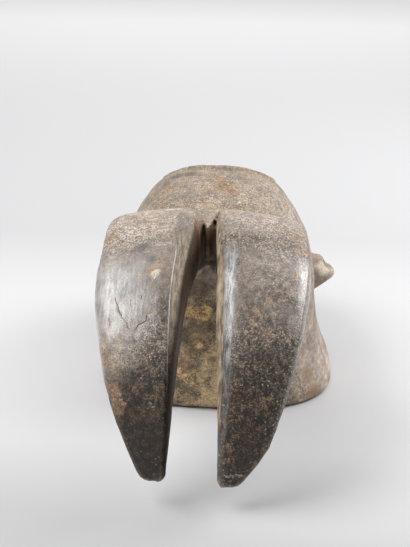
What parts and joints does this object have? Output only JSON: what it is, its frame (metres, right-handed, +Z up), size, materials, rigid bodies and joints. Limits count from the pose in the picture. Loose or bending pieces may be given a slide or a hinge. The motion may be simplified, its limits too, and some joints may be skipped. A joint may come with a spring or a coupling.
{
  "type": "horned face mask",
  "caption": "Carved wooden face mask lying on its back rim: oval face with slit eyes, small ears and broad flat horns that arch forward over the crown and curl down to blunt tips.",
  "frame": {"origin": "centre of the bounding box, on the plane of the back rim", "axes": "+Z up out of the face, -Y towards the crown and the horn tips, +Y towards the chin, +X towards the left ear of the face"},
  "size_m": [0.1844, 0.3998, 0.1602],
  "materials": {
    "carved_wood": "dark brown, handled and worn, satin"
  },
  "bodies": {
    "root": {"mask": "carved_wood"}
  },
  "joints": []
}
